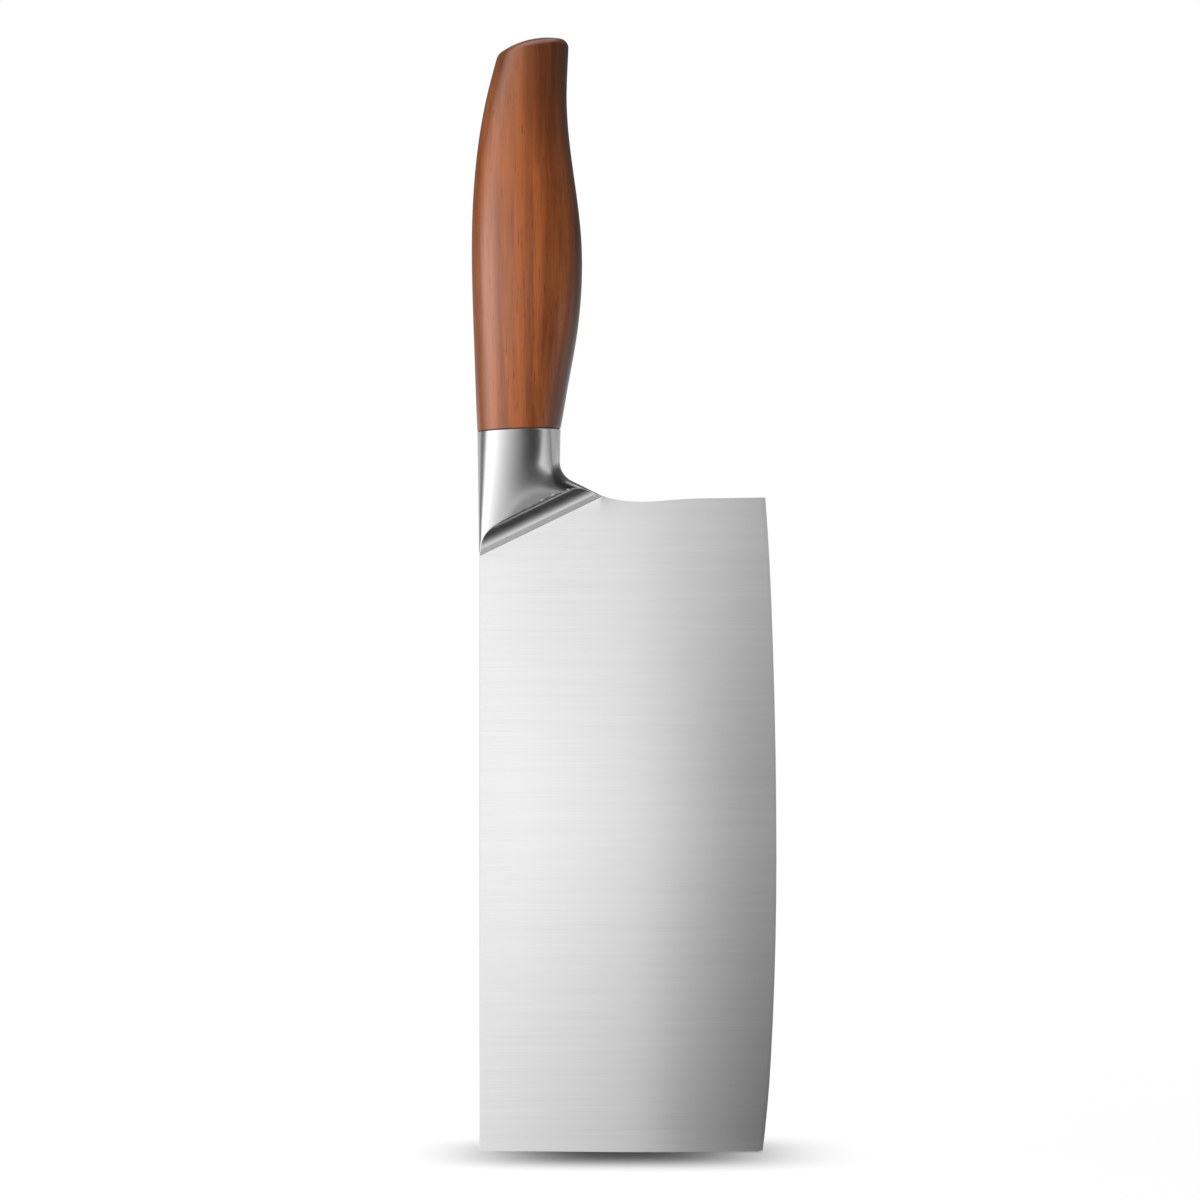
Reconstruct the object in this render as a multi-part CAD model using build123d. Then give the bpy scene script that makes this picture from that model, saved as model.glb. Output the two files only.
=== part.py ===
from build123d import *

import os
from math import copysign, cos, pi, sin

# A Chinese slicing cleaver, standing on the front end of its blade with the handle up.
# Z runs up the knife, from the front end of the blade to the butt of the handle.
# X runs across it, from the back of the knife to the cutting edge, and Y through its thickness.
# All sizes are millimetres. While the pieces are made, X is measured from the line of the spine;
# at the end they move so that the origin lies under the middle of the whole knife.

# Blade outline. Set-backs are measured from the line of the widest point.
blade_length = 176.6
blade_height = 80.0
widest_point_z = 79.0
tip_set_back = 3.8
near_tip_set_back = 1.5
near_tip_rise = 25.2
heel_set_back = 3.0
near_heel_set_back = 1.4
near_heel_drop = 27.5
front_end_rise = 0.9
heel_flat_length = 17.6
heel_flat_drop = 0.25
heel_hollow_length = 33.8
heel_hollow_drop = 1.15

# Blade grind
spine_thickness = 2.2
edge_thickness = 0.5
spine_ease = 0.2
bevel_angle = 15.0
bevel_depth = 1.2
edge_land = 0.06

# Slanted joint between blade and bolster, from the spine to the neck
seam_drop = 14.7
seam_width = 32.1
seam_rise = 15.6
weld_width = 1.0
shank_inset = 7.0
shank_width = 15.0
shank_reach = 11.0
shank_thickness = 1.0
shank_clearance = 0.1

# Bolster, and its oval joint with the handle
bolster_height = 32.6
joint_rise = 0.8
joint_back_overhang = 0.55
joint_width = 22.4
joint_thickness = 20.0
joint_fullness = 2.1
neck_waist = 0.25
neck_corner_rise = 5.2
neck_radius = 5.7
shoulder_overhang = 0.12
shoulder_thickness = 8.0
shoulder_fullness = 2.2
cove_radius = 5.0
bolster_sections = 15

# Tang and glue
tang_diameter = 6.0
tang_foot_gap = 1.0
tang_end_cover = 31.5
tang_chamfer = 0.8
groove_pitch = 9.0
groove_width = 1.5
groove_depth = 0.5
bore_clearance = 0.8
bore_end_gap = 2.0
glue_film = 0.25
glue_inset = 0.25

# Handle
handle_length = 105.5
grip_width = 29.6
grip_thickness = 23.5
butt_apex_share = 0.623
butt_dome_radius = 22.1
butt_round = 2.0

# How far a cut runs past what it cuts
overrun = 5.0

oval_points = 24

# The swell of the handle. Each row gives a share of the handle's length from the joint, where
# the back and the belly lie from the spine line as shares of the grip's width, and the share of
# the grip's thickness. The last row is past the butt, which is cut from it.
grip_shares = (
    (0.05, -0.027, 0.767, 0.868),
    (0.11, -0.035, 0.803, 0.890),
    (0.23, -0.050, 0.879, 0.940),
    (0.35, -0.064, 0.926, 0.980),
    (0.48, -0.070, 0.929, 1.000),
    (0.60, -0.056, 0.885, 0.990),
    (0.72, -0.016, 0.827, 0.960),
    (0.85, 0.065, 0.794, 0.920),
    (0.94, 0.148, 0.804, 0.890),
    (1.06, 0.275, 0.823, 0.860),
)


def signed_power(value, power):
    """The power of a value's size, with its sign kept."""
    return copysign(abs(value) ** power, value)


def oval(back, belly, thickness, fullness):
    """Closed oval outline from a back point to a belly point; fullness 2 is an ellipse."""
    middle = (back + belly) / 2
    reach = (belly - back) / 2
    lift = Vector(0, thickness / 2, 0)
    turns = [2 * pi * step / oval_points for step in range(oval_points)]
    points = [
        middle
        + reach * signed_power(cos(turn), 2 / fullness)
        + lift * signed_power(sin(turn), 2 / fullness)
        for turn in turns
    ]
    return Wire([Spline(*points, periodic=True)])


def between(start, end, share):
    """The value or point that lies at a share of the way from start to end."""
    return start + (end - start) * share


# Ends of the slanted seam and of the joint under the handle, in the knife's middle plane
seam_spine = Vector(0, 0, blade_length - seam_drop)
seam_neck = seam_spine + Vector(seam_width, 0, seam_rise)
seam_along = (seam_neck - seam_spine).normalized()
seam_length = (seam_neck - seam_spine).length
seam_up = Vector(-seam_along.Z, 0, seam_along.X)
seam = Plane(origin=seam_spine, x_dir=seam_along, z_dir=seam_up)

joint_height = seam_spine.Z + bolster_height
joint_back = Vector(-joint_back_overhang, 0, joint_height - joint_rise / 2)
joint_belly = joint_back + Vector(joint_width, 0, joint_rise)
joint_middle = (joint_back + joint_belly) / 2
joint_along = (joint_belly - joint_back).normalized()
joint_up = Vector(-joint_along.Z, 0, joint_along.X)
joint = Plane(origin=joint_middle, x_dir=joint_along, z_dir=joint_up)

knife_length = joint_height + handle_length
tang_in_handle = handle_length - tang_end_cover
shank_tip = seam_spine + seam_along * (shank_inset + shank_width) + seam_up * shank_reach
tang_in_bolster = joint_height - shank_tip.Z - tang_foot_gap
taper = (spine_thickness - edge_thickness) / 2 / blade_height


def plate_half(x):
    """Half the thickness of the ground plate at a distance from the spine line."""
    return spine_thickness / 2 - taper * x


def ground_plate():
    """Prism with the blade's wedge section, taller and wider than the blade."""
    eased = spine_thickness / 2 - spine_ease
    far = blade_height + overrun
    side = [(0, eased), (spine_ease, plate_half(spine_ease)), (far, plate_half(far))]
    other_side = [(x, -y) for x, y in reversed(side)]
    section = make_face(Polyline(*side, *other_side, close=True))
    return Pos(0, 0, -overrun) * extrude(section, amount=knife_length)


def neck_line():
    """Side view of the bolster's neck, from the joint to the seam, with X across and Y up."""
    joint_end = (joint_belly.X, joint_belly.Z)
    seam_end = (seam_neck.X, seam_neck.Z)
    corner = (joint_belly.X - neck_waist, seam_neck.Z + neck_corner_rise)
    return FilletPolyline(joint_end, corner, seam_end, radius=neck_radius)


def cutting_edge():
    """The edge line from tip to heel: four arcs, upright where they meet at the widest point."""
    widest = (blade_height, widest_point_z)
    near_tip = (blade_height - near_tip_set_back, near_tip_rise)
    near_heel = (blade_height - near_heel_set_back, blade_length - near_heel_drop)
    front = TangentArc(widest, near_tip, tangent=(0, -1))
    tip = TangentArc(near_tip, (blade_height - tip_set_back, 0), tangent=front % 1)
    rear = TangentArc(widest, near_heel, tangent=(0, 1))
    heel = TangentArc(near_heel, (blade_height - heel_set_back, blade_length), tangent=rear % 1)
    return [tip, front, rear, heel]


def blade_outline():
    """Side view of the blade and its weld seam, up to the bolster's foot."""
    edge = cutting_edge()
    tip = edge[0] @ 1
    heel = edge[-1] @ 1
    neck = neck_line()
    flat_end = heel - Vector(heel_flat_length, heel_flat_drop)
    hollow = heel - Vector(heel_hollow_length, heel_hollow_drop)
    flat = Line(heel, flat_end)
    hollow_line = Spline(flat_end, hollow, neck @ 1, tangents=[flat % 1, -(neck % 1)])
    back = Polyline(neck @ 1, (0, seam_spine.Z), (0, front_end_rise), tip)
    return make_face([*edge, flat, hollow_line, *back.edges()])


def bevel_cutter():
    """What the stone takes off one face, swept along the cutting edge and past its ends."""
    edge = cutting_edge()
    past_tip = Line(edge[0] @ 1, edge[0] @ 1 + (edge[0] % 1) * overrun)
    past_heel = Line(edge[-1] @ 1, edge[-1] @ 1 + (edge[-1] % 1) * overrun)
    path = Plane.XZ * Wire([past_tip, *edge, past_heel])
    inward = PolarLine((0, edge_land / 2), bevel_depth, 180 - bevel_angle)
    outward = PolarLine((0, edge_land / 2), overrun, -bevel_angle)
    corner = ((outward @ 1).X, (inward @ 1).Y)
    section = make_face(Polyline(outward @ 1, inward @ 1, corner, close=True))
    outside = (path % 0).cross(Vector(0, 1, 0))
    start = Plane(origin=path @ 0, x_dir=outside, z_dir=path % 0)
    return sweep(start * section, path=path)


def shank():
    """The thinned tongue that stands on the blade's slanted edge, inside the bolster."""
    width, thickness, reach = shank_width, shank_thickness, shank_reach
    foot = seam.offset(-weld_width - overrun) * Pos(shank_inset + width / 2, 0, 0)
    return extrude(foot * Rectangle(width, thickness), amount=overrun + weld_width + reach)


def shank_pocket():
    """The hollow in the bolster that takes the tongue with a small clearance."""
    width = shank_width + 2 * shank_clearance
    thickness = shank_thickness + 2 * shank_clearance
    foot = seam * Pos(shank_inset + shank_width / 2, 0, 0)
    return extrude(foot * Rectangle(width, thickness), amount=shank_reach + shank_clearance)


def blade_and_weld():
    """The blade with its shank, and the seam of weld metal along its slanted edge."""
    plate = extrude(Plane.XZ * blade_outline(), amount=spine_thickness, both=True)
    plate = plate & ground_plate()
    cutter = bevel_cutter()
    plate = plate - cutter - mirror(cutter, about=Plane.XZ)
    weld_line = seam.offset(-weld_width)
    blade = split(plate, bisect_by=weld_line, keep=Keep.BOTTOM) + shank()
    weld = split(plate, bisect_by=weld_line, keep=Keep.TOP) - shank()
    return blade, weld


def cove_cutter():
    """The wheel's path along the seam: a cove that starts flush with the plate's face."""
    start = seam_spine - seam_along * overrun
    half = plate_half(start.X)
    deep = half + max(cove_radius, joint_thickness)
    section_plane = Plane(origin=start, x_dir=seam_up, z_dir=-seam_along)
    cove = RadiusArc((0, half), (cove_radius, half + cove_radius), -cove_radius)
    rest = Polyline(cove @ 1, (cove_radius, deep), (-overrun, deep), (-overrun, half), cove @ 0)
    direction = seam_along + Vector(0, -taper * seam_along.X, 0)
    reach = seam_length + 2 * overrun
    return extrude(section_plane * make_face([cove, *rest.edges()]), amount=reach, dir=direction)


def bolster():
    """Oval block that flares down the neck and ends in a coved shoulder on the plate."""
    foot_back = seam_spine - seam_along * (shoulder_overhang / seam_along.X)
    neck = neck_line()
    sections = []
    for index in range(bolster_sections):
        share = index / (bolster_sections - 1)
        back = between(joint_back, foot_back, share)
        belly = neck @ share
        thickness = between(joint_thickness, shoulder_thickness, share)
        fullness = between(joint_fullness, shoulder_fullness, share)
        sections.append(oval(back, Vector(belly.X, 0, belly.Y), thickness, fullness))
    cutter = cove_cutter()
    block = Part(Solid.make_loft(sections).wrapped) - cutter - mirror(cutter, about=Plane.XZ)
    bore = extrude(joint * Circle(tang_diameter / 2), amount=-tang_in_bolster)
    return block - shank_pocket() - bore


def tang():
    """Steel rod from the bolster into the handle, with rings cut into it for the glue."""
    foot = joint.offset(-tang_in_bolster)
    rod = extrude(foot * Circle(tang_diameter / 2), amount=tang_in_bolster + tang_in_handle)
    tip_edges = rod.edges().filter_by(GeomType.CIRCLE).sort_by(Axis.Z)[-1:]
    rod = chamfer(tip_edges, length=tang_chamfer)
    groove = Circle(tang_diameter) - Circle(tang_diameter / 2 - groove_depth)
    for index in range(1, int(tang_in_handle / groove_pitch)):
        ring = joint.offset(index * groove_pitch) * groove
        rod = rod - extrude(ring, amount=groove_width)
    return rod


def handle_bore():
    """The blind hole drilled up the handle from the joint."""
    radius = tang_diameter / 2 + bore_clearance
    return extrude(joint * Circle(radius), amount=tang_in_handle + bore_end_gap)


def handle_adhesive(rod):
    """Cured glue: a film on the joint and a sleeve that fills the bore round the tang."""
    inset = joint_along * glue_inset
    outline = oval(
        joint_back + inset,
        joint_belly - inset,
        joint_thickness - 2 * glue_inset,
        joint_fullness,
    )
    film = extrude(Face(outline), amount=glue_film, dir=joint_up)
    return film + handle_bore() - rod


def handle():
    """One piece of wood with a palm swell, an even oval section and a slanted, domed butt."""
    start = joint_up * glue_film
    sections = [oval(joint_back + start, joint_belly + start, joint_thickness, joint_fullness)]
    for length_share, back_share, belly_share, thickness_share in grip_shares:
        height = joint_height + handle_length * length_share
        back = Vector(grip_width * back_share, 0, height)
        belly = Vector(grip_width * belly_share, 0, height)
        thickness = grip_thickness * thickness_share
        sections.append(oval(back, belly, thickness, joint_fullness))
    wood = Part(Solid.make_loft(sections).wrapped)
    centre = Pos(grip_width * butt_apex_share, 0, knife_length - butt_dome_radius)
    above = 2 * butt_dome_radius
    block = Box(2 * above, 2 * above, above, align=(Align.CENTER, Align.CENTER, Align.MIN))
    wood = wood - centre * (block - Sphere(butt_dome_radius))
    butt_rim = wood.faces().sort_by(Axis.Z)[-1].edges()
    wood = fillet(butt_rim, radius=butt_round)
    return wood - handle_bore()


def main():
    """Makes every piece and writes each to its own file."""
    blade, weld = blade_and_weld()
    rod = tang()
    pieces = {
        "blade": blade,
        "bolster_weld": weld,
        "bolster": bolster(),
        "tang": rod,
        "handle_adhesive": handle_adhesive(rod),
        "handle": handle(),
    }
    back_share = min(share for _, share, _, _ in grip_shares)
    middle_x = (blade_height + grip_width * back_share) / 2
    os.makedirs("parts", exist_ok=True)
    for name, piece in pieces.items():
        export_step(Pos(-middle_x, 0, 0) * piece, f"parts/{name}.step")


main()
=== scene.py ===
import math

import bpy
import numpy as np
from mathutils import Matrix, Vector

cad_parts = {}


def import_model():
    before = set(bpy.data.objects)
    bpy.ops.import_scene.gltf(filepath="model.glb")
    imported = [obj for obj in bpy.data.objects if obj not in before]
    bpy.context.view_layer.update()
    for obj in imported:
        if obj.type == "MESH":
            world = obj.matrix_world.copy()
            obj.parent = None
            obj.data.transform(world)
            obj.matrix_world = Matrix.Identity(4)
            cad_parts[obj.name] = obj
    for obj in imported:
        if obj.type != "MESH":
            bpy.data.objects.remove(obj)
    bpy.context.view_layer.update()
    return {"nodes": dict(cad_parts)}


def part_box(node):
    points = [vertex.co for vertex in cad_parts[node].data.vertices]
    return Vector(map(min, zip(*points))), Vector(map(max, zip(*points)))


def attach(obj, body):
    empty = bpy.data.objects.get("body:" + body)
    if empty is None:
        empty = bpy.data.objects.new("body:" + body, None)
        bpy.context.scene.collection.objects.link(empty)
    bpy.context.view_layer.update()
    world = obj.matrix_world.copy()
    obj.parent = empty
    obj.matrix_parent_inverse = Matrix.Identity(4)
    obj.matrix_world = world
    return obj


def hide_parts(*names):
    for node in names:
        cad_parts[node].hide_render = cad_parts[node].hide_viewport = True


# A Chinese slicing cleaver that stands on the front end of its blade, seen square on.
# Shapes are worked out in millimetres, with X from the spine line, and go into meshes in metres.

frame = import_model()

MM = 0.001
SPINE_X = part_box("blade")[0][0]
KNIFE_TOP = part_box("handle")[1][2] / MM

# Sizes that the solids have too
BLADE_HEIGHT = 80.0
SPINE_THICKNESS = 2.2
EDGE_THICKNESS = 0.5
SEAM_SPINE = np.array([0.0, 0.0, 161.9])
SEAM_NECK = np.array([32.1, 0.0, 177.5])
JOINT_BACK = np.array([-0.55, 0.0, 194.1])
JOINT_BELLY = np.array([21.85, 0.0, 194.9])
JOINT_Z = 194.5
JOINT_THICKNESS = 20.0
JOINT_FULLNESS = 2.1
NECK_CORNER = np.array([21.6, 0.0, 182.7])
NECK_RADIUS = 5.7
SHOULDER_OVERHANG = 0.12
SHOULDER_THICKNESS = 8.0
SHOULDER_FULLNESS = 2.2
COVE_RADIUS = 5.0
COVE_EDGE = 0.16
SHANK_CLEARANCE = 0.1
TANG_RADIUS = 3.0
TANG_IN_BOLSTER = 12.1
BORE_RADIUS = 3.8
BORE_DEPTH = 76.0
POCKET_INSET, POCKET_WIDTH, POCKET_THICKNESS, POCKET_DEPTH = 7.0, 15.2, 1.2, 11.1
POCKET_FULLNESS = 14.0
GLUE_FILM = 0.25
HANDLE_LENGTH = 105.5
GRIP_WIDTH = 29.6
GRIP_THICKNESS = 23.5
DOME_RADIUS = 22.1
DOME_APEX_SHARE = 0.623
DOME_CENTRE = np.array([GRIP_WIDTH * DOME_APEX_SHARE, 0.0, KNIFE_TOP - DOME_RADIUS])
BUTT_ROUND = 2.0
EDGE_ROUND = 0.12

# Share of the handle's length, back and belly as shares of its width, share of its thickness
GRIP = (
    (0.05, -0.027, 0.767, 0.868),
    (0.11, -0.035, 0.803, 0.890),
    (0.23, -0.050, 0.879, 0.940),
    (0.35, -0.064, 0.926, 0.980),
    (0.48, -0.070, 0.929, 1.000),
    (0.60, -0.056, 0.885, 0.990),
    (0.72, -0.016, 0.827, 0.960),
    (0.85, 0.065, 0.794, 0.920),
    (0.94, 0.148, 0.804, 0.890),
    (1.06, 0.275, 0.823, 0.860),
)

# Fineness of the skins: points in a ring, rings along a stretch
AROUND = 224
NECK_ROWS, COVE_ROWS, COVE_START = 80, 74, 0.78
GRIP_ROWS, BUTT_ROWS, DOME_ROWS, DOME_END = 150, 12, 26, 0.96
GRIP_OVERRUN, GRIP_STEPS = 1.05, 2101
SHARP_ANGLE = math.radians(35)
TURNS = np.linspace(0, 2 * math.pi, AROUND, endpoint=False)


# Shapes


def unit(vector):
    return vector / np.linalg.norm(vector)


SEAM_ALONG = unit(SEAM_NECK - SEAM_SPINE)
SEAM_UP = np.array([-SEAM_ALONG[2], 0.0, SEAM_ALONG[0]])
JOINT_ALONG = unit(JOINT_BELLY - JOINT_BACK)
JOINT_UP = np.array([-JOINT_ALONG[2], 0.0, JOINT_ALONG[0]])
JOINT_MIDDLE = (JOINT_BACK + JOINT_BELLY) / 2


def signed_power(values, power):
    return np.sign(values) * np.abs(values) ** power


def oval(back, belly, thickness, fullness=JOINT_FULLNESS, turns=TURNS):
    """Ring of points round an oval from the belly point, through +Y, to the back and on."""
    across = signed_power(np.cos(turns), 2 / fullness)[:, None]
    through = signed_power(np.sin(turns), 2 / fullness)[:, None]
    lift = np.array([0.0, thickness / 2, 0.0])
    return (back + belly) / 2 + across * (belly - back) / 2 + through * lift


def spline(knots, values, at):
    """Natural cubic spline through the knots, for a list of places."""
    knots = np.asarray(knots, float)
    values = np.asarray(values, float)
    gaps = np.diff(knots)
    count = len(knots)
    matrix = np.eye(count)
    right = np.zeros(count)
    for i in range(1, count - 1):
        matrix[i, i - 1 : i + 2] = gaps[i - 1], 2 * (gaps[i - 1] + gaps[i]), gaps[i]
        slopes = np.diff(values)[i - 1 : i + 1] / gaps[i - 1 : i + 1]
        right[i] = 6 * (slopes[1] - slopes[0])
    bends = np.linalg.solve(matrix, right)
    at = np.asarray(at, float)
    i = np.clip(np.searchsorted(knots, at) - 1, 0, count - 2)
    h = gaps[i]
    a = (knots[i + 1] - at) / h
    b = (at - knots[i]) / h
    curve = (a**3 - a) * bends[i] + (b**3 - b) * bends[i + 1]
    return a * values[i] + b * values[i + 1] + curve * h**2 / 6


def ring_mesh(name, rings, first_point=None, last_point=None):
    """Closed skin through rings of AROUND points each, with a point at either end."""
    points = np.concatenate(rings)
    faces = []
    for row in range(len(rings) - 1):
        for column in range(AROUND):
            after = (column + 1) % AROUND
            low, high = row * AROUND, (row + 1) * AROUND
            faces.append((low + column, low + after, high + after, high + column))
    ends = ((first_point, 0, True), (last_point, (len(rings) - 1) * AROUND, False))
    for point, start, turned in ends:
        if point is None:
            continue
        tip = len(points)
        points = np.vstack([points, point])
        for column in range(AROUND):
            pair = (start + (column + 1) % AROUND, start + column)
            faces.append((tip, *pair) if turned else (tip, *reversed(pair)))
    points = points * MM
    points[:, 0] += SPINE_X
    mesh = bpy.data.meshes.new(name)
    mesh.from_pydata(points.tolist(), [], faces)
    mesh.validate()
    mesh.shade_smooth()
    mesh.set_sharp_from_angle(angle=SHARP_ANGLE)
    piece = bpy.data.objects.new(name, mesh)
    bpy.context.collection.objects.link(piece)
    return piece


def circle(plane_middle, along, radius):
    across = np.cos(TURNS)[:, None] * along * radius
    return plane_middle + across + np.sin(TURNS)[:, None] * np.array([0.0, radius, 0.0])


def mixed(ring, other, share):
    return ring + (other - ring) * share


# Bolster


def neck(share):
    """Point at a share of the neck's side view: a straight, a rounded corner, a straight."""
    start, corner, end = JOINT_BELLY, NECK_CORNER, SEAM_NECK
    down, out = unit(start - corner), unit(end - corner)
    half_angle = math.acos(float(np.dot(down, out))) / 2
    cut = NECK_RADIUS / math.tan(half_angle)
    first, second = corner + down * cut, corner + out * cut
    centre = corner + unit(down + out) * NECK_RADIUS / math.sin(half_angle)
    turn = math.pi - 2 * half_angle
    lengths = [np.linalg.norm(start - first), NECK_RADIUS * turn, np.linalg.norm(end - second)]
    place = share * sum(lengths)
    if place <= lengths[0]:
        return start + (first - start) * place / lengths[0]
    place -= lengths[0]
    if place <= lengths[1]:
        angle = place / NECK_RADIUS
        arm, far = first - centre, second - centre
        side = unit(far - arm * math.cos(turn)) * NECK_RADIUS
        return centre + arm * math.cos(angle) + side * math.sin(angle)
    place -= lengths[1]
    return second + (end - second) * place / lengths[2]


def plate_half(x):
    return SPINE_THICKNESS / 2 - (SPINE_THICKNESS - EDGE_THICKNESS) / 2 / BLADE_HEIGHT * x


def coved(ring):
    """Takes the ring's points in to the cove that runs out flush with the plate."""
    ring = ring.copy()
    above = np.clip((ring - SEAM_SPINE) @ SEAM_UP, 0, COVE_RADIUS)
    limit = plate_half(ring[:, 0]) + COVE_RADIUS - np.sqrt(COVE_RADIUS**2 - above**2)
    size = np.abs(ring[:, 1])
    clear = ((ring - SEAM_SPINE) @ SEAM_UP) >= COVE_RADIUS + COVE_EDGE
    limit = np.where(clear, size + 2 * COVE_EDGE, limit)
    near = np.clip(0.5 + 0.5 * (size - limit) / COVE_EDGE, 0, 1)
    low = size * (1 - near) + limit * near - COVE_EDGE * near * (1 - near)
    ring[:, 1] = np.where(size > COVE_EDGE, np.sign(ring[:, 1]) * np.maximum(low, 0), ring[:, 1])
    return ring


def bolster_piece():
    foot_back = SEAM_SPINE - SEAM_ALONG * (SHOULDER_OVERHANG / SEAM_ALONG[0])
    neck_shares = np.linspace(0, COVE_START, NECK_ROWS, endpoint=False)
    cove_shares = np.linspace(COVE_START, 1, COVE_ROWS)
    side = []
    for share in np.concatenate([neck_shares, cove_shares]):
        back = JOINT_BACK + (foot_back - JOINT_BACK) * share
        thickness = JOINT_THICKNESS + (SHOULDER_THICKNESS - JOINT_THICKNESS) * share
        fullness = JOINT_FULLNESS + (SHOULDER_FULLNESS - JOINT_FULLNESS) * share
        side.append(coved(oval(back, neck(share), thickness, fullness)))
    face = side[0].copy()
    inner = mixed(face, JOINT_MIDDLE, EDGE_ROUND / (JOINT_THICKNESS / 2))
    side[0] = face - JOINT_UP * EDGE_ROUND
    bore = circle(JOINT_MIDDLE, JOINT_ALONG, TANG_RADIUS)
    bore_end = bore - JOINT_UP * TANG_IN_BOLSTER
    pocket_middle = SEAM_SPINE + SEAM_ALONG * (POCKET_INSET + POCKET_WIDTH / 2 - SHANK_CLEARANCE)
    reach = SEAM_ALONG * POCKET_WIDTH / 2
    ends = pocket_middle - reach, pocket_middle + reach
    pocket = oval(*ends, POCKET_THICKNESS, POCKET_FULLNESS)
    pocket_end = pocket + SEAM_UP * POCKET_DEPTH
    rings = [bore_end, bore, inner, *side, pocket, pocket_end]
    piece = ring_mesh(
        "bolster_body",
        rings,
        JOINT_MIDDLE - JOINT_UP * TANG_IN_BOLSTER,
        pocket_middle + SEAM_UP * POCKET_DEPTH,
    )
    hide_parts("bolster")
    return piece


# Handle


def grip_ring(heights):
    """Rings of the wood's side, each a share of the way from the joint to past the butt."""
    start = JOINT_UP * GLUE_FILM
    ends = [(JOINT_BACK + start, JOINT_BELLY + start, JOINT_THICKNESS)]
    shares = [0.0]
    for share, back, belly, thickness in GRIP:
        z = JOINT_Z + HANDLE_LENGTH * share
        back_point = np.array([GRIP_WIDTH * back, 0, z])
        belly_point = np.array([GRIP_WIDTH * belly, 0, z])
        ends.append((back_point, belly_point, GRIP_THICKNESS * thickness))
        shares.append(share)
    tables = []
    for pick in (0, 1):
        for axis in (0, 2):
            tables.append(spline(shares, [end[pick][axis] for end in ends], heights))
    thick = spline(shares, [end[2] for end in ends], heights)
    rings = []
    for i in range(len(heights)):
        back = np.array([tables[0][i], 0, tables[1][i]])
        belly = np.array([tables[2][i], 0, tables[3][i]])
        rings.append(oval(back, belly, thick[i]))
    return np.array(rings)


def dome_height(x, y):
    reach = DOME_RADIUS**2 - (x - DOME_CENTRE[0]) ** 2 - y**2
    return DOME_CENTRE[2] + np.sqrt(np.maximum(reach, 0))


def handle_piece():
    fine = np.linspace(0, GRIP_OVERRUN, GRIP_STEPS)
    grid = grip_ring(fine)
    over = grid[:, :, 2] - dome_height(grid[:, :, 0], grid[:, :, 1])
    meet = np.argmax(over > 0, axis=0)
    columns = np.arange(AROUND)
    before, after = over[meet - 1, columns], over[meet, columns]
    rim_share = fine[meet - 1] + (fine[1] - fine[0]) * (-before) / (after - before)

    def on_side(shares):
        place = np.clip(shares, 0, GRIP_OVERRUN) / (fine[1] - fine[0])
        low = np.minimum(place.astype(int), len(fine) - 2)
        part = (place - low)[:, None]
        return grid[low, columns] * (1 - part) + grid[low + 1, columns] * part

    rim = on_side(rim_share)
    centre = np.array([rim[:, 0].mean(), 0.0])
    inward = centre - rim[:, :2]
    inward_length = np.linalg.norm(inward, axis=1)

    def on_dome(distances):
        flat = rim[:, :2] + inward * (distances / inward_length)[:, None]
        return np.column_stack([flat, dome_height(flat[:, 0], flat[:, 1])])

    step = 0.5
    down = on_side(rim_share - step / HANDLE_LENGTH) - rim
    over_top = on_dome(np.full(AROUND, step)) - rim
    down /= np.linalg.norm(down, axis=1)[:, None]
    over_top_length = np.linalg.norm(over_top, axis=1)
    over_top /= over_top_length[:, None]
    corner_angle = np.arccos(np.clip((down * over_top).sum(axis=1), -1, 1))
    cut = BUTT_ROUND / np.tan(corner_angle / 2)
    side_end = rim_share - cut / HANDLE_LENGTH
    dome_start = cut * step / over_top_length
    side = [on_side(side_end * share) for share in np.linspace(0, 1, GRIP_ROWS)]
    low, high = side[-1], on_dome(dome_start)
    weight = 1 / math.sqrt(2)
    rounding = []
    for t in np.linspace(0, 1, BUTT_ROWS)[1:-1]:
        parts = (1 - t) ** 2, 2 * t * (1 - t) * weight, t**2
        rounding.append((parts[0] * low + parts[1] * rim + parts[2] * high) / sum(parts))
    dome = []
    for share in np.linspace(0, DOME_END, DOME_ROWS):
        dome.append(on_dome(dome_start + (inward_length - dome_start) * share))
    top = np.array([centre[0], 0.0, float(dome_height(centre[0], 0.0))])
    base_middle = JOINT_MIDDLE + JOINT_UP * GLUE_FILM
    inner = mixed(side[0], base_middle, EDGE_ROUND / (JOINT_THICKNESS / 2))
    side[0] = side[0] + JOINT_UP * EDGE_ROUND
    bore = circle(base_middle, JOINT_ALONG, BORE_RADIUS)
    bore_end = bore + JOINT_UP * (BORE_DEPTH - GLUE_FILM)
    bore_tip = base_middle + JOINT_UP * (BORE_DEPTH - GLUE_FILM)
    rings = [ring[::-1] for ring in (bore_end, bore, inner, *side, *rounding, *dome)]
    piece = ring_mesh("handle_wood_body", rings, bore_tip, top)
    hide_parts("handle")
    return piece


# Materials


# Most noise lies between these two values
NOISE_LOW, NOISE_HIGH = 0.3, 0.7


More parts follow.
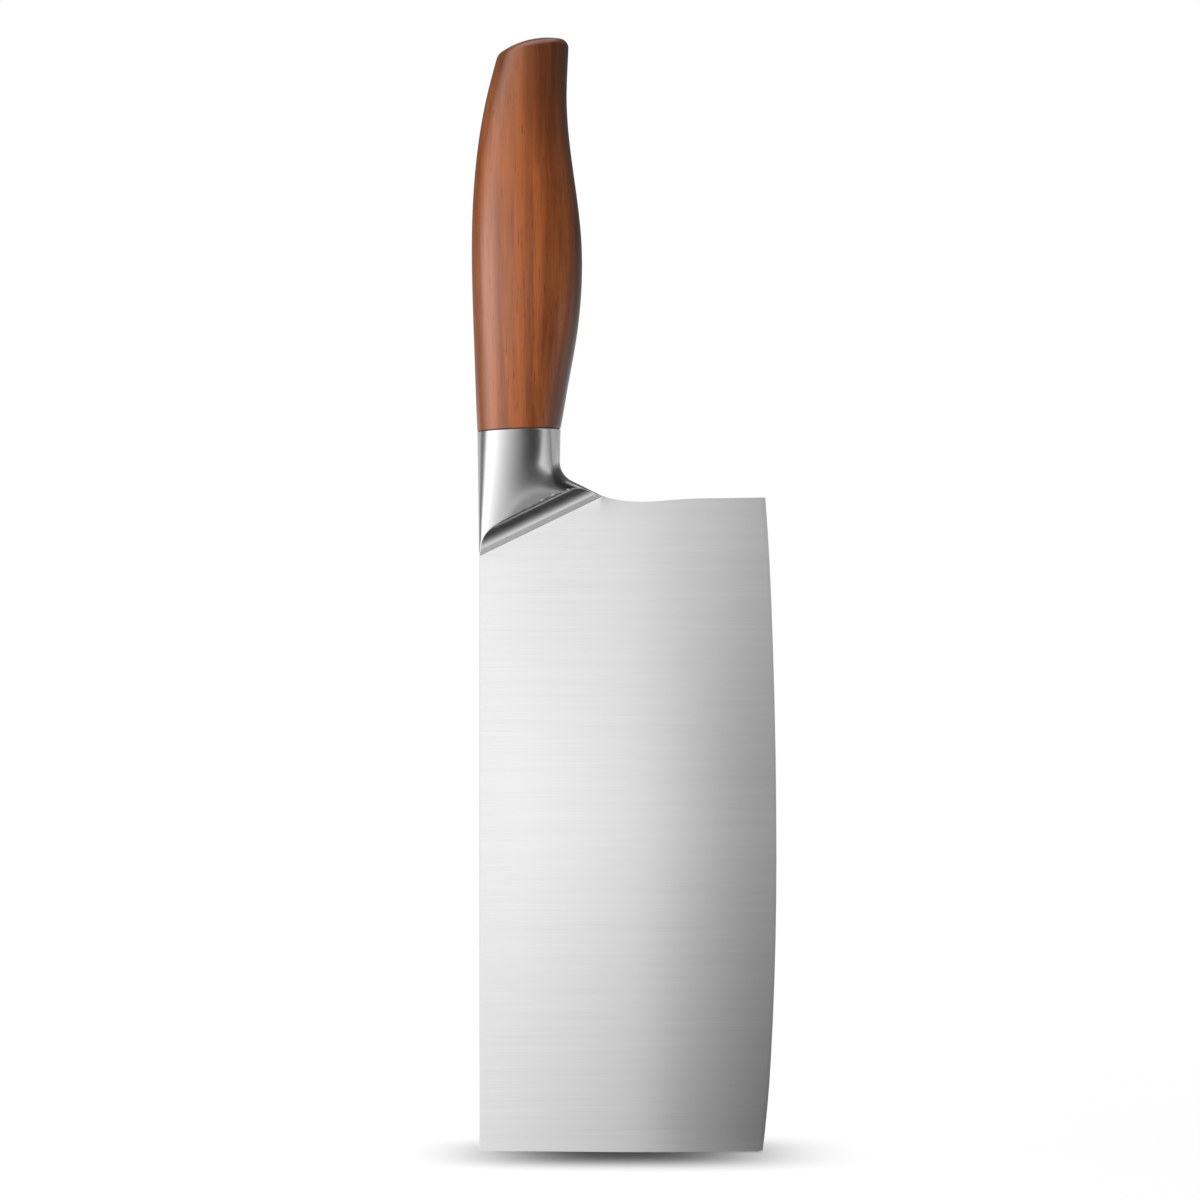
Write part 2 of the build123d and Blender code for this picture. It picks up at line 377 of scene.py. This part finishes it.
class Nodes:
    """Shorthand for one material's nodes."""

    def __init__(self, name):
        self.material = bpy.data.materials.new(name)
        self.material.use_nodes = True
        self.tree = self.material.node_tree
        self.tree.nodes.clear()
        self.output = self.add("ShaderNodeOutputMaterial")
        self.coordinates = self.add("ShaderNodeTexCoord").outputs["Object"]

    def add(self, kind, **settings):
        node = self.tree.nodes.new(kind)
        for key, value in settings.items():
            setattr(node, key, value)
        return node

    def give_socket(self, socket, value):
        """Links another node's output, or sets a plain value."""
        if isinstance(value, bpy.types.NodeSocket):
            self.tree.links.new(value, socket)
        else:
            socket.default_value = value

    def feed(self, node, **inputs):
        for key, value in inputs.items():
            self.give_socket(node.inputs[key.replace("_", " ")], value)
        return node

    def surface(self, shader):
        self.tree.links.new(shader, self.output.inputs["Surface"])

    def axis(self, name):
        node = self.add("ShaderNodeSeparateXYZ")
        self.tree.links.new(self.coordinates, node.inputs[0])
        return node.outputs[name]

    def noise(self, scale, detail=3.0, roughness=0.5, shift=(0, 0, 0), distortion=0.0):
        place = self.add("ShaderNodeMapping")
        self.feed(place, Vector=self.coordinates, Scale=scale, Location=shift)
        node = self.add("ShaderNodeTexNoise")
        self.feed(node, Vector=place.outputs[0], Scale=1.0, Detail=detail)
        self.feed(node, Roughness=roughness, Distortion=distortion)
        return node.outputs["Fac"]

    def math(self, operation, first, second=0.0, clamp=False):
        node = self.add("ShaderNodeMath", operation=operation, use_clamp=clamp)
        self.give_socket(node.inputs[0], first)
        self.give_socket(node.inputs[1], second)
        return node.outputs[0]

    def weighted(self, *pairs):
        """Sum of values, each times its weight."""
        total = None
        for value, weight in pairs:
            part = self.math("MULTIPLY", value, weight)
            total = part if total is None else self.math("ADD", total, part)
        return total

    def between(self, value, low, high, out_low, out_high):
        """Value mapped from one range to another, and held at its ends."""
        node = self.add("ShaderNodeMapRange", clamp=True)
        self.feed(node, Value=value, From_Min=low, From_Max=high)
        self.feed(node, To_Min=out_low, To_Max=out_high)
        return node.outputs[0]

    def ramp(self, value, stops, interpolation="LINEAR"):
        node = self.add("ShaderNodeValToRGB")
        node.color_ramp.interpolation = interpolation
        elements = node.color_ramp.elements
        elements[0].position = stops[0][0]
        elements[1].position = stops[-1][0]
        elements[0].color = (*stops[0][1], 1)
        elements[1].color = (*stops[-1][1], 1)
        for place, colour in stops[1:-1]:
            elements.new(place).color = (*colour, 1)
        self.feed(node, Fac=value)
        return node.outputs["Color"]

    def mix(self, factor, first, second):
        node = self.add("ShaderNodeMix", data_type="RGBA")
        self.give_socket(node.inputs[0], factor)
        for socket, value in ((node.inputs[6], first), (node.inputs[7], second)):
            self.give_socket(socket, (*value, 1) if isinstance(value, tuple) else value)
        return node.outputs[2]

    def bump(self, height, strength, distance):
        node = self.add("ShaderNodeBump")
        self.feed(node, Height=height, Strength=strength, Distance=distance)
        return node.outputs[0]

    def principled(self, **inputs):
        node = self.add("ShaderNodeBsdfPrincipled")
        self.feed(node, **inputs)
        self.surface(node.outputs[0])
        return node


def grey(value):
    return (value, value, value)


def brushed_steel(name):
    """Blade steel with fine brush lines along X."""
    tone, tone_spread = 0.86, 0.027
    roughness, roughness_spread = 0.22, 0.035
    line_scale, band_scale = (45.0, 300.0, 5200.0), (15.0, 40.0, 577.8)
    bump_strength, bump_height = 0.06, 0.00004
    n = Nodes(name)
    lines = n.noise(line_scale, 2.0, 0.6)
    bands = n.noise(band_scale, 3.0, 0.55, shift=(3.1, 0.7, 1.9))
    both = n.weighted((lines, 0.6), (bands, 0.4))
    stops = [(0.32, grey(tone - tone_spread)), (0.68, grey(tone + tone_spread))]
    rough_range = roughness - roughness_spread, roughness + roughness_spread
    shader = n.principled(
        Base_Color=n.ramp(both, stops),
        Metallic=1.0,
        Roughness=n.between(both, NOISE_LOW, NOISE_HIGH, *rough_range),
        Anisotropic=0.5,
        Normal=n.bump(both, bump_strength, bump_height),
    )
    tangent = n.add("ShaderNodeTangent", direction_type="RADIAL", axis="X")
    n.feed(shader, Tangent=tangent.outputs[0])
    return n.material


def polished_steel(name):
    """Satin polish of the bolster: faint lines from the wheel, and soft mottling."""
    tone, tone_spread = 0.78, 0.03
    roughness, roughness_spread = 0.20, 0.03
    line_scale, mottle_scale = (120.0, 120.0, 4200.0), (260.0, 260.0, 260.0)
    bump_strength, bump_height = 0.05, 0.00005
    n = Nodes(name)
    lines = n.noise(line_scale, 2.0, 0.6)
    mottle = n.noise(mottle_scale, 3.0, 0.5, shift=(0.4, 1.3, 2.2))
    both = n.weighted((lines, 0.5), (mottle, 0.5))
    stops = [(NOISE_LOW, grey(tone - tone_spread)), (NOISE_HIGH, grey(tone + tone_spread))]
    rough_range = roughness - roughness_spread, roughness + roughness_spread
    n.principled(
        Base_Color=n.ramp(both, stops),
        Metallic=1.0,
        Roughness=n.between(both, NOISE_LOW, NOISE_HIGH, *rough_range),
        Normal=n.bump(both, bump_strength, bump_height),
    )
    return n.material


def drawn_steel(name):
    """Dull steel of the tang, with lines along the rod."""
    line_scale = (2500.0, 2500.0, 60.0)
    n = Nodes(name)
    lines = n.noise(line_scale, 2.0, 0.6)
    n.principled(
        Base_Color=n.ramp(lines, [(NOISE_LOW, grey(0.42)), (NOISE_HIGH, grey(0.55))]),
        Metallic=1.0,
        Roughness=n.between(lines, NOISE_LOW, NOISE_HIGH, 0.32, 0.45),
        Normal=n.bump(lines, 0.2, 0.00005),
    )
    return n.material


def dark_glue(name):
    dark_brown, brown = (0.035, 0.022, 0.016), (0.07, 0.045, 0.035)
    grain_scale = (1500.0, 1500.0, 1500.0)
    n = Nodes(name)
    mottle = n.noise(grain_scale, 3.0, 0.6)
    n.principled(
        Base_Color=n.ramp(mottle, [(NOISE_LOW, dark_brown), (NOISE_HIGH, brown)]),
        Roughness=n.between(mottle, NOISE_LOW, NOISE_HIGH, 0.5, 0.7),
        Normal=n.bump(mottle, 0.3, 0.00005),
    )
    return n.material


# From the dark to the light parts of the wood's figure
WOOD_TONES = [
    (0.36, (0.130, 0.032, 0.008)),
    (0.45, (0.190, 0.050, 0.012)),
    (0.52, (0.245, 0.068, 0.016)),
    (0.62, (0.300, 0.090, 0.023)),
]
PORE_TONE = (0.045, 0.013, 0.006)
# Painted shade: the wood darkens toward the butt, standing in for the lamp light falling off there
BUTT_SHADE_TONE = (0.020, 0.006, 0.003)


def lacquered_wood(name):
    """Reddish-brown wood: lengthwise figure, fine fibre, short dark pores, satin lacquer, and
    painted shade that darkens it toward the butt.
    """
    warp_scale, figure_scale = (35.0, 35.0, 7.0), (210.0, 210.0, 9.0)
    fibre_scale, pore_scale = (1500.0, 1500.0, 42.0), (2600.0, 2600.0, 170.0)
    pore_low, pore_high, pore_depth = 0.665, 0.735, 0.55
    butt_shade_low, butt_shade_high, butt_shade_depth = 0.264, 0.296, 0.42
    n = Nodes(name)
    warp = n.noise(warp_scale, 2.0, 0.5, shift=(5.0, 2.0, 1.0))
    figure = n.noise(figure_scale, 4.0, 0.55, shift=(1.5, 0.3, 0.0), distortion=0.35)
    fibre = n.noise(fibre_scale, 3.0, 0.65, shift=(0.2, 0.9, 0.4))
    tone = n.weighted((figure, 0.52), (fibre, 0.26), (warp, 0.22))
    pores = n.noise(pore_scale, 1.0, 0.4, shift=(0.0, 4.0, 7.0))
    pore = n.between(pores, pore_low, pore_high, 0.0, 1.0)
    colour = n.ramp(tone, WOOD_TONES)
    colour = n.mix(n.math("MULTIPLY", pore, pore_depth), colour, PORE_TONE)
    # Painted shade: darker wood toward the butt, standing in for the light falling off there
    butt_shade = n.between(n.axis("Z"), butt_shade_low, butt_shade_high, 0.0, butt_shade_depth)
    colour = n.mix(butt_shade, colour, BUTT_SHADE_TONE)
    grain = n.math("SUBTRACT", n.math("MULTIPLY", fibre, 0.35), pore)
    n.principled(
        Base_Color=colour,
        Roughness=n.between(fibre, NOISE_LOW, NOISE_HIGH, 0.40, 0.52),
        Specular_IOR_Level=0.6,
        Coat_Weight=1.0,
        Coat_Roughness=0.24,
        Coat_IOR=1.5,
        Normal=n.bump(grain, 0.22, 0.00008),
    )
    return n.material


def give(piece, material):
    """Puts the material in each of the object's slots, or adds a slot for it."""
    if not piece.material_slots:
        piece.data.materials.append(material)
    for material_slot in piece.material_slots:
        material_slot.material = material


# Stage
# The tent, the blade cards and the cove flags are studio gear: glowing panels, no lamps, whose
# tones paint the reflections on blade, bolster and wood. Only reflections see them.


def stage_mesh(name, corners, faces):
    mesh = bpy.data.meshes.new(name)
    mesh.from_pydata(corners, [], faces)
    panel = bpy.data.objects.new(name, mesh)
    bpy.context.collection.objects.link(panel)
    return panel


def only_in_reflections(piece):
    piece.visible_camera = False
    piece.visible_diffuse = False
    piece.visible_shadow = False
    piece.visible_transmission = False
    piece.visible_volume_scatter = False


def glowing(n, colour, strength=1.0):
    """A lit card: its light is its colour, and its back and front are alike."""
    emission = n.add("ShaderNodeEmission")
    n.feed(emission, Color=colour, Strength=strength)
    return emission.outputs[0]


def falling(n, ways):
    """1 in the middle, falling to 0 past a reach along each axis."""
    total = None
    for axis, reach, power in ways:
        share = n.math("ABSOLUTE", n.math("DIVIDE", n.axis(axis), reach))
        part = n.math("POWER", share, power)
        total = part if total is None else n.math("ADD", total, part)
    return n.math("POWER", math.e, n.math("MULTIPLY", total, -1.0))


def floor():
    """White floor with a painted soft contact shadow under the knife, over its real shadow, plain
    white further off.
    """
    size = 6.0
    painted_shadow_darkest, lit_share, shaded_share = 0.08, 0.76, 0.92
    corners = [(-size, -size, 0), (size, -size, 0), (size, size, 0), (-size, size, 0)]
    panel = stage_mesh("floor", corners, [(0, 1, 2, 3)])
    n = Nodes("white_floor")
    # Painted shadow: a soft dark patch painted into the floor's colour under the knife
    painted_shadow = falling(n, (("X", 0.0405, 2.8), ("Y", 0.0170, 2.9)))
    near = falling(n, (("X", 0.15, 2.0), ("Y", 0.12, 2.0)))
    colour = n.ramp(painted_shadow, [(0.0, grey(1.0)), (1.0, grey(painted_shadow_darkest))])
    path = n.add("ShaderNodeLightPath").outputs
    seen = n.math("ADD", path["Is Camera Ray"], path["Is Glossy Ray"], clamp=True)
    lift = n.math("SUBTRACT", 1.0, n.math("MULTIPLY", near, shaded_share))
    diffuse = n.add("ShaderNodeBsdfDiffuse")
    n.feed(diffuse, Color=n.mix(n.math("MULTIPLY", near, lit_share), grey(0.0), colour))
    both = n.add("ShaderNodeAddShader")
    n.give_socket(both.inputs[0], diffuse.outputs[0])
    n.give_socket(both.inputs[1], glowing(n, colour, n.math("MULTIPLY", lift, seen)))
    n.surface(both.outputs[0])
    give(panel, n.material)


# Azimuth in degrees from the camera's side, counted toward +X, and brightness there, which the
# bolster and, higher up, the wood show as painted reflections
BOLSTER_CARDS = (
    (-180, 0.70),
    (-145, 0.64),
    (-134, 0.64),
    (-127, 0.54),
    (-120, 0.30),
    (-113, 0.18),
    (-104, 0.18),
    (-97, 0.40),
    (-91, 0.90),
    (-84, 1.45),
    (-62, 1.50),
    (-45, 1.08),
    (-24, 0.68),
    (-6, 0.38),
    (1, 0.25),
    (9, 0.14),
    (18, 0.08),
    (27, 0.05),
    (46, 0.06),
    (55, 0.22),
    (65, 0.48),
    (74, 0.50),
    (81, 0.24),
    (88, 0.24),
    (96, 0.50),
    (108, 0.50),
    (125, 0.38),
    (160, 0.60),
)
WOOD_CARDS = (
    (-180, 0.40),
    (-140, 0.20),
    (-112, 0.08),
    (-98, 0.50),
    (-88, 2.80),
    (-74, 4.00),
    (-56, 3.20),
    (-42, 1.20),
    (-25, 0.60),
    (-5, 0.36),
    (14, 0.20),
    (34, 0.07),
    (60, 0.05),
    (88, 0.15),
    (112, 0.20),
    (160, 0.30),
)


def card_stops(cards):
    return [((azimuth + 180) / 360, grey(level)) for azimuth, level in cards]


def tent():
    """Round screen of cards and flags, and a ring of them on the floor."""
    steps, radius, bottom, top = 96, 0.62, -0.05, 1.10
    ring_start, ring_height = 0.075, 0.004
    wood_low, wood_high = 0.225, 0.245
    fade_low, fade_high, faded = 0.30, 0.37, 0.35
    points, faces = [], []
    for low_end, high_end in (
        ((radius, bottom), (radius, top)),
        ((ring_start, ring_height), (radius, ring_height)),
    ):
        first = len(points)
        for step in range(steps):
            angle = 2 * math.pi * step / steps
            for reach, z in (low_end, high_end):
                points.append((reach * math.cos(angle), reach * math.sin(angle), z))
            here, after = first + 2 * step, first + 2 * ((step + 1) % steps)
            faces.append((here, after, after + 1, here + 1))
    screen = stage_mesh("tent", points, faces)
    n = Nodes("tent_cards")
    turn = n.math("ARCTAN2", n.axis("X"), n.math("MULTIPLY", n.axis("Y"), -1.0))
    place = n.math("ADD", n.math("MULTIPLY", turn, 0.5 / math.pi), 0.5)
    low_cards = n.ramp(place, card_stops(BOLSTER_CARDS))
    high_cards = n.ramp(place, card_stops(WOOD_CARDS))
    # Painted highlight: above the bolster's height the screen shows the wood's cards, a bright
    # window for the lacquer's highlight, fading higher up
    by_wood = n.between(n.axis("Z"), wood_low, wood_high, 0.0, 1.0)
    fall = n.between(n.axis("Z"), fade_low, fade_high, 1.0, faded)
    n.surface(glowing(n, n.mix(by_wood, low_cards, high_cards), fall))
    give(screen, n.material)
    only_in_reflections(screen)


# Share of the way across the card, and brightness there low down, half way and high up
CARD_TONES = (
    (0.116, 0.82, 1.06, 1.00),
    (0.231, 0.75, 1.00, 0.91),
    (0.377, 0.66, 0.92, 0.86),
    (0.464, 0.61, 0.87, 0.85),
    (0.551, 0.55, 0.81, 0.79),
    (0.639, 0.38, 0.68, 0.69),
    (0.725, 0.29, 0.54, 0.62),
    (0.798, 0.25, 0.45, 0.57),
    (0.900, 0.15, 0.34, 0.45),
)
CARD_HALF_WIDTH = 0.05


def blade_card(side):
    """Glowing card before the blade's face, with a foot in to it, that paints the blade's
    reflection: light by the spine, dark lower right.
    """
    low, high, left, right = -0.03, 0.195, -0.10, 0.12
    foot_height = 0.0003
    away, foot = 0.025 * side, 0.0012 * side
    low_row, middle_row, upper_row, top_row = -0.005, 0.085, 0.10, 0.165
    cut_start, cut_slope, cut_limit, spine_x = 0.1604, 0.486, 0.190, -0.039
    name = "blade_card_near" if side < 0 else "blade_card_far"
    corners = [(left, away, low), (right, away, low), (right, away, high), (left, away, high)]
    for x, y in ((left, foot), (right, foot), (right, away), (left, away)):
        corners.append((x, y, foot_height))
    panel = stage_mesh(name, corners, [(0, 1, 2, 3), (4, 5, 6, 7)])
    n = Nodes(name)
    x, z = n.axis("X"), n.axis("Z")
    place = n.between(x, -CARD_HALF_WIDTH, CARD_HALF_WIDTH, 0.0, 1.0)
    rows = []
    for row in (1, 2, 3):
        stops = [(tone[0], grey(tone[row])) for tone in CARD_TONES]
        rows.append(n.ramp(place, stops, "B_SPLINE"))
    light = n.mix(n.between(z, low_row, middle_row, 0.0, 1.0), rows[0], rows[1])
    light = n.mix(n.between(z, upper_row, top_row, 0.0, 1.0), light, rows[2])
    rise = n.math("MULTIPLY", n.math("SUBTRACT", x, spine_x), cut_slope)
    cut = n.math("MINIMUM", n.math("ADD", rise, cut_start), cut_limit)
    clear = n.between(n.math("SUBTRACT", z, cut), -0.001, 0.003, 0.0, 1.0)
    mix = n.add("ShaderNodeMixShader")
    gap = n.add("ShaderNodeBsdfTransparent")
    parts = clear, glowing(n, light), gap.outputs[0]
    for socket, value in zip(mix.inputs, parts):
        n.give_socket(socket, value)
    n.surface(mix.outputs[0])
    give(panel, n.material)
    only_in_reflections(panel)


# Place from the blade's middle out, in millimetres, and brightness of the flag's top there
FLAG_TONES = (
    (3.6, 0.045),
    (4.0, 0.08),
    (4.6, 0.22),
    (5.3, 0.48),
    (6.3, 0.78),
    (7.9, 0.95),
    (10.4, 0.95),
    (13.2, 0.26),
    (24.0, 0.26),
)


def cove_flag(side):
    """Dark shelf along the seam, just under the cove, that paints the dark reflection in the cove;
    its underside glows pale.
    """
    drop, overhang, reach = 1.0, 6.0, 36.0
    inner, outer = 1.25, 24.0
    underside = 0.95
    start = SEAM_SPINE - SEAM_UP * drop - SEAM_ALONG * overhang
    end = SEAM_SPINE - SEAM_UP * drop + SEAM_ALONG * reach
    corners = []
    for point, away in ((start, inner), (end, inner), (end, outer), (start, outer)):
        corners.append((point[0] * MM + SPINE_X, away * MM * side, point[2] * MM))
    name = "cove_flag_near" if side < 0 else "cove_flag_far"
    panel = stage_mesh(name, corners, [(0, 1, 2, 3)])
    n = Nodes("cove_flag")
    back = n.add("ShaderNodeNewGeometry").outputs["Backfacing"]
    below = back if side > 0 else n.math("SUBTRACT", 1.0, back)
    out = n.between(n.math("ABSOLUTE", n.axis("Y")), 0.0, outer * MM, 0.0, 1.0)
    top = n.ramp(out, [(place / outer, grey(level)) for place, level in FLAG_TONES])
    n.surface(glowing(n, n.mix(below, top, grey(underside))))
    give(panel, n.material)
    only_in_reflections(panel)


def lamp(name, place, target, size, power, shadow=True):
    """Square lamp that lights wood, glue and floor, and doesn't show in reflections."""
    light = bpy.data.lights.new(name, "AREA")
    light.shape = "SQUARE"
    light.size = size
    light.energy = power
    light.use_shadow = shadow
    holder = bpy.data.objects.new(name, light)
    holder.location = place
    aim = Vector(target) - Vector(place)
    holder.rotation_euler = aim.to_track_quat("-Z", "Y").to_euler()
    holder.visible_glossy = False
    holder.visible_camera = False
    bpy.context.collection.objects.link(holder)


def world():
    """Plain white surroundings; what camera, metal and lacquer see is white too."""
    dim, full = 0.10, 1.0
    sky = bpy.data.worlds.new("studio")
    sky.use_nodes = True
    bpy.context.scene.world = sky
    tree = sky.node_tree
    background = tree.nodes["Background"]
    background.inputs["Color"].default_value = (1, 1, 1, 1)
    path = tree.nodes.new("ShaderNodeLightPath").outputs
    total = path["Is Camera Ray"]
    for name in ("Is Glossy Ray", "Is Transmission Ray"):
        add = tree.nodes.new("ShaderNodeMath")
        add.operation = "ADD"
        add.use_clamp = True
        tree.links.new(total, add.inputs[0])
        tree.links.new(path[name], add.inputs[1])
        total = add.outputs[0]
    level = tree.nodes.new("ShaderNodeMapRange")
    level.inputs["To Min"].default_value = dim
    level.inputs["To Max"].default_value = full
    tree.links.new(total, level.inputs["Value"])
    tree.links.new(level.outputs[0], background.inputs["Strength"])


def camera():
    """Level camera, square to the blade, at the photo's scale."""
    eye = (-0.0065, -0.70, 0.149)
    picture_width, knife_in_picture, knife_length = 1200, 1113.8, 0.3
    view_width = picture_width * knife_length / knife_in_picture
    lens = bpy.data.cameras.new("camera")
    lens.sensor_width = 36.0
    lens.lens = lens.sensor_width * -eye[1] / view_width
    lens.clip_start = 0.01
    holder = bpy.data.objects.new("camera", lens)
    holder.location = eye
    holder.rotation_euler = (math.pi / 2, 0, 0)
    bpy.context.collection.objects.link(holder)
    bpy.context.scene.camera = holder


bolster_body = bolster_piece()
handle_body = handle_piece()
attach(bolster_body, "root")
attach(handle_body, "root")

blade_steel = brushed_steel("brushed_blade_steel")
give(frame["nodes"]["blade"], blade_steel)
give(frame["nodes"]["bolster_weld"], blade_steel)
give(frame["nodes"]["tang"], drawn_steel("drawn_tang_steel"))
give(frame["nodes"]["handle_adhesive"], dark_glue("cured_glue"))
give(bolster_body, polished_steel("satin_bolster_steel"))
give(handle_body, lacquered_wood("lacquered_wood"))

NEAR, FAR = -1, 1
GRIP_MIDDLE = (-0.02, 0, 0.2)

floor()
tent()
for side in (NEAR, FAR):
    blade_card(side)
    cove_flag(side)
lamp("key", (-0.43, -0.80, 0.45), GRIP_MIDDLE, size=0.4, power=13.5, shadow=False)
lamp("back_key", (-0.02, 0.90, 0.45), GRIP_MIDDLE, size=0.4, power=9.0, shadow=False)
lamp("top", (0.0, -0.05, 1.1), (0, 0, 0.0), size=0.9, power=4.0)
world()
camera()
bpy.context.scene.view_settings.view_transform = "Standard"
